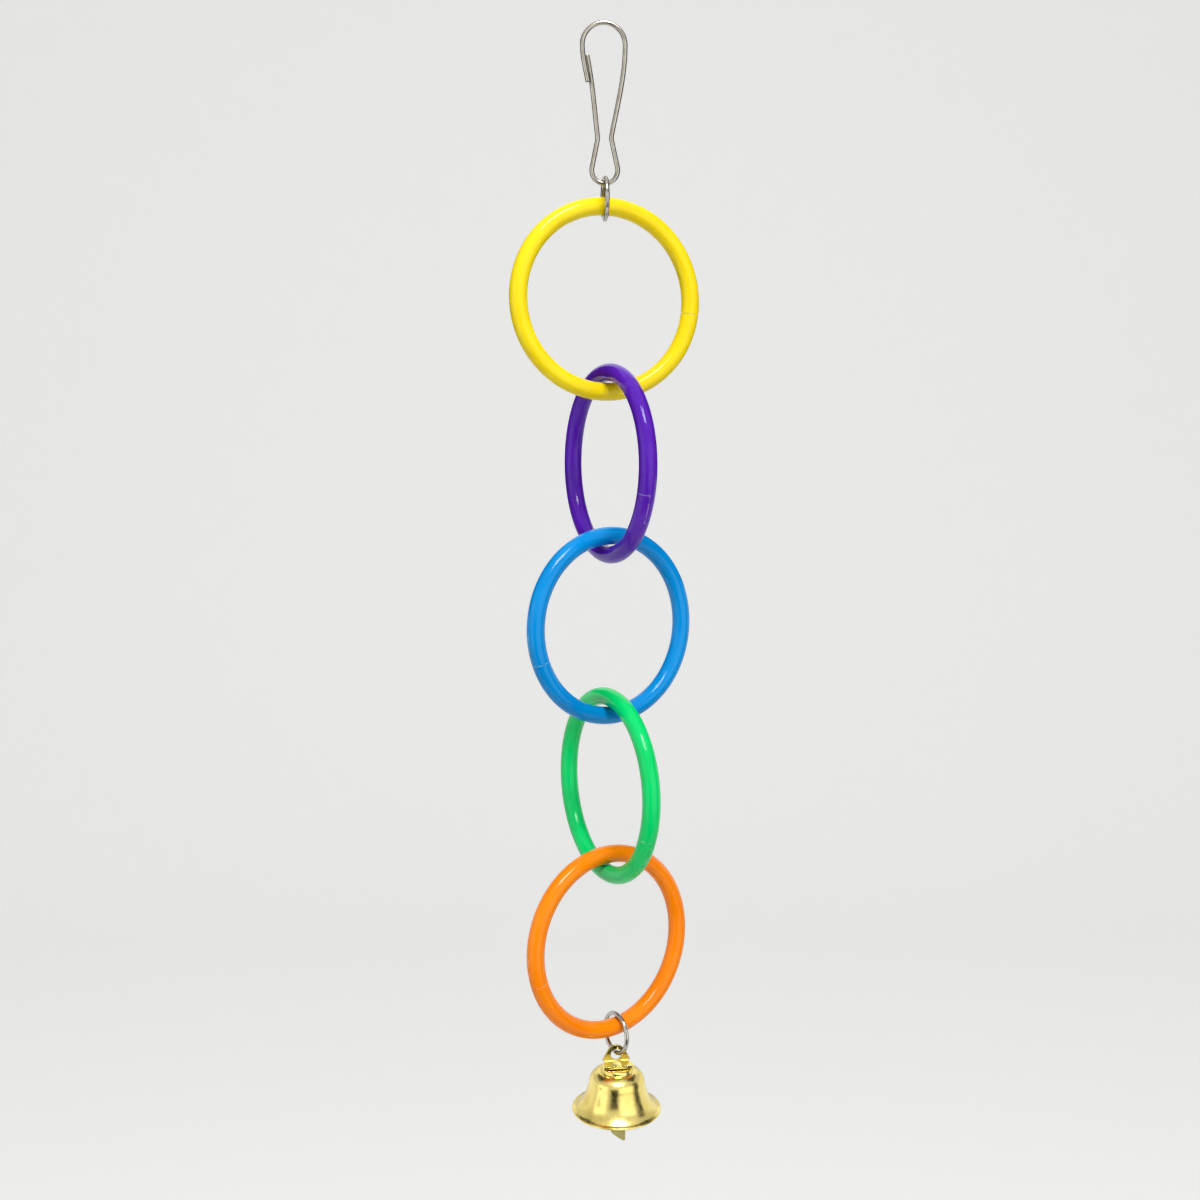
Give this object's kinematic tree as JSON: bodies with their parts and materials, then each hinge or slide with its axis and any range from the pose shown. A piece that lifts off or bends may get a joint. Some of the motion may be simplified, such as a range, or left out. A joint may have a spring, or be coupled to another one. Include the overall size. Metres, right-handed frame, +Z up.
{
  "type": "bird ring chain toy",
  "caption": "Hanging chain of round plastic rings linked one through the next, on a spring wire hook, with a small bell at its lower end.",
  "frame": {"origin": "top inside bend of the hook, where the toy rests on the bar that it hangs on", "axes": "+Z up, +X to the right and +Y away for someone who faces the flat of the hook; the chain hangs plumb below"},
  "size_m": [0.0472, 0.0467, 0.2835],
  "materials": {
    "nickel_plate": "bright satin nickel plate on steel wire",
    "brass_plate": "bright brass plate on pressed sheet",
    "yellow_plastic": "glossy, moulded in one colour",
    "purple_plastic": "glossy, moulded in one colour",
    "blue_plastic": "glossy, moulded in one colour",
    "green_plastic": "glossy, moulded in one colour",
    "orange_plastic": "glossy, moulded in one colour"
  },
  "bodies": {
    "hook": {"hook_frame": "nickel_plate"},
    "latch": {"hook_latch_arm": "nickel_plate"},
    "top_jump_ring": {"top_jump_ring": "nickel_plate"},
    "yellow_ring": {"yellow_ring": "yellow_plastic"},
    "purple_ring": {"purple_ring": "purple_plastic"},
    "blue_ring": {"blue_ring": "blue_plastic"},
    "green_ring": {"green_ring": "green_plastic"},
    "orange_ring": {"orange_ring": "orange_plastic"},
    "bell_jump_ring": {"bell_jump_ring": "nickel_plate"},
    "bell": {"bell_shell": "brass_plate", "bell_hanger": "brass_plate"},
    "clapper": {"clapper": "brass_plate"}
  },
  "joints": [
    {"name": "latch_flex", "type": "hinge", "parent": "hook", "child": "latch", "pos_m": [-0.0032, 0, -0.0348], "axis": [0, 1, 0], "range_deg": [0, 12], "stiffness_Nm_per_rad": 0.02},
    {"name": "top_jump_swing", "type": "hinge", "parent": "hook", "child": "top_jump_ring", "pos_m": [0, 0, -0.038], "axis": [1, 0, 0], "range_deg": [-60, 60]},
    {"name": "yellow_swing", "type": "hinge", "parent": "top_jump_ring", "child": "yellow_ring", "pos_m": [0, 0, -0.0467], "axis": [0.1049, -0.9945, 0], "range_deg": [-45, 45]},
    {"name": "purple_swing", "type": "hinge", "parent": "yellow_ring", "child": "purple_ring", "pos_m": [0.00038, 0.00014, -0.08905], "axis": [0.9397, 0.3419, 0], "range_deg": [-90, 90]},
    {"name": "blue_swing", "type": "hinge", "parent": "purple_ring", "child": "blue_ring", "pos_m": [0.00058, -0.00032, -0.12974], "axis": [0.4068, -0.9135, 0], "range_deg": [-90, 90]},
    {"name": "green_swing", "type": "hinge", "parent": "blue_ring", "child": "green_ring", "pos_m": [-0.00039, -0.00103, -0.17041], "axis": [0.8089, 0.5879, 0], "range_deg": [-90, 90]},
    {"name": "orange_swing", "type": "hinge", "parent": "green_ring", "child": "orange_ring", "pos_m": [-0.00062, -0.00058, -0.2111], "axis": [0.454, -0.891, 0], "range_deg": [-90, 90]},
    {"name": "bell_jump_swing", "type": "hinge", "parent": "orange_ring", "child": "bell_jump_ring", "pos_m": [0.00114, 0.00074, -0.2517], "axis": [0.7987, 0.6018, 0], "range_deg": [-90, 90]},
    {"name": "bell_swing", "type": "hinge", "parent": "bell_jump_ring", "child": "bell", "pos_m": [0.00114, 0.00074, -0.25875], "axis": [0.53, -0.848, 0], "range_deg": [-70, 70]},
    {"name": "clapper_swing", "type": "hinge", "parent": "bell", "child": "clapper", "pos_m": [0.00123, 0.00024, -0.26634], "axis": [0.9848, 0.174, 0], "range_deg": [-45, 50]}
  ]
}
